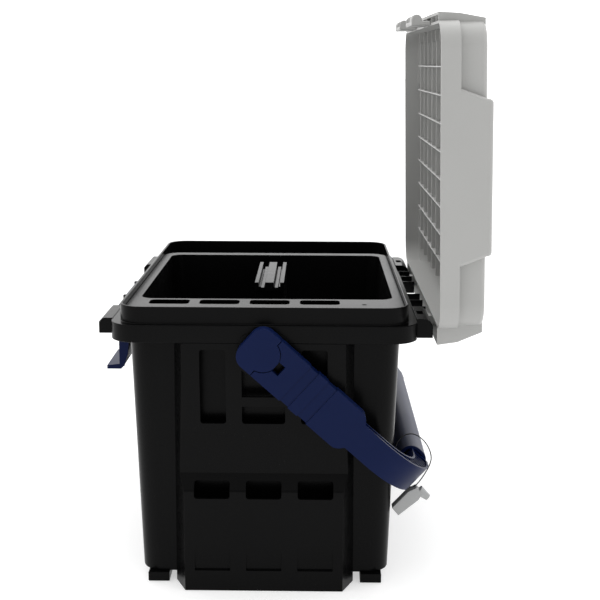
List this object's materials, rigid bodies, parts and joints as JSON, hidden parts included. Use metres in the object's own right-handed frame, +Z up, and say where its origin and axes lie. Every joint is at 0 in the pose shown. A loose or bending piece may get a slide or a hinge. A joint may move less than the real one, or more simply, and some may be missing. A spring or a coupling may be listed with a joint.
{
  "type": "fishing seat box",
  "caption": "Hard plastic fishing box to sit on, with a hinged lid standing open, a lift-out tray, a front latch and a carrying handle that swings over the ends.",
  "frame": {"origin": "on the floor, under the middle of the tub", "axes": "+X towards the end nearest the camera, +Y towards the hinge side, -Y towards the latch, +Z up"},
  "size_m": [0.4764, 0.4143, 0.5865],
  "materials": {
    "black_plastic": "moulded, slightly satin",
    "grey_plastic": "moulded, satin",
    "navy_plastic": "moulded, half gloss",
    "pale_grey_plastic": "moulded, satin",
    "elastic": "smooth cord",
    "steel": "drawn wire"
  },
  "bodies": {
    "box": {"tub_body": "black_plastic", "end_panel_near": "black_plastic", "end_panel_far": "black_plastic", "foot_front_near": "black_plastic", "foot_front_far": "black_plastic", "foot_rear_near": "black_plastic", "foot_rear_far": "black_plastic", "front_lug_near": "black_plastic", "front_lug_far": "black_plastic", "hinge_lug_near": "black_plastic", "hinge_lug_far": "black_plastic", "hinge_ladder": "black_plastic", "hinge_pin_near": "steel", "hinge_pin_far": "steel", "latch_bracket": "black_plastic", "latch_pin": "steel", "inner_tray": "black_plastic", "tray_grip": "black_plastic", "handle_pivot_near": "black_plastic", "handle_pivot_far": "black_plastic"},
    "lid": {"lid_shell": "grey_plastic", "lid_rib_grid": "grey_plastic", "lid_catch_near": "grey_plastic", "lid_catch_far": "grey_plastic", "lid_hinge_arm_near": "grey_plastic", "lid_hinge_arm_far": "grey_plastic"},
    "handle": {"handle_hub_near": "navy_plastic", "handle_hub_far": "navy_plastic", "handle_arm_near": "navy_plastic", "handle_arm_far": "navy_plastic", "handle_grip": "navy_plastic", "elastic_loop": "elastic", "toggle_plate": "pale_grey_plastic", "toggle_peg": "pale_grey_plastic"},
    "latch_lever_body": {"latch_lever": "navy_plastic", "hook_pin": "steel"},
    "latch_hook_body": {"latch_hook": "pale_grey_plastic"}
  },
  "joints": [
    {"name": "lid_hinge", "type": "hinge", "parent": "box", "child": "lid", "pos_m": [0, 0.16, 0.267], "axis": [1, 0, 0], "range_deg": [0, 88.6]},
    {"name": "handle_swing", "type": "hinge", "parent": "box", "child": "handle", "pos_m": [0, 0, 0.256], "axis": [1, 0, 0], "range_deg": [0, 26]},
    {"name": "latch_swing", "type": "hinge", "parent": "box", "child": "latch_lever_body", "pos_m": [0, -0.1635, 0.271], "axis": [1, 0, 0], "range_deg": [-120, 0]},
    {"name": "hook_swing", "type": "hinge", "parent": "latch_lever_body", "child": "latch_hook_body", "pos_m": [0, -0.1685, 0.25], "axis": [1, 0, 0], "range_deg": [0, 25]}
  ]
}
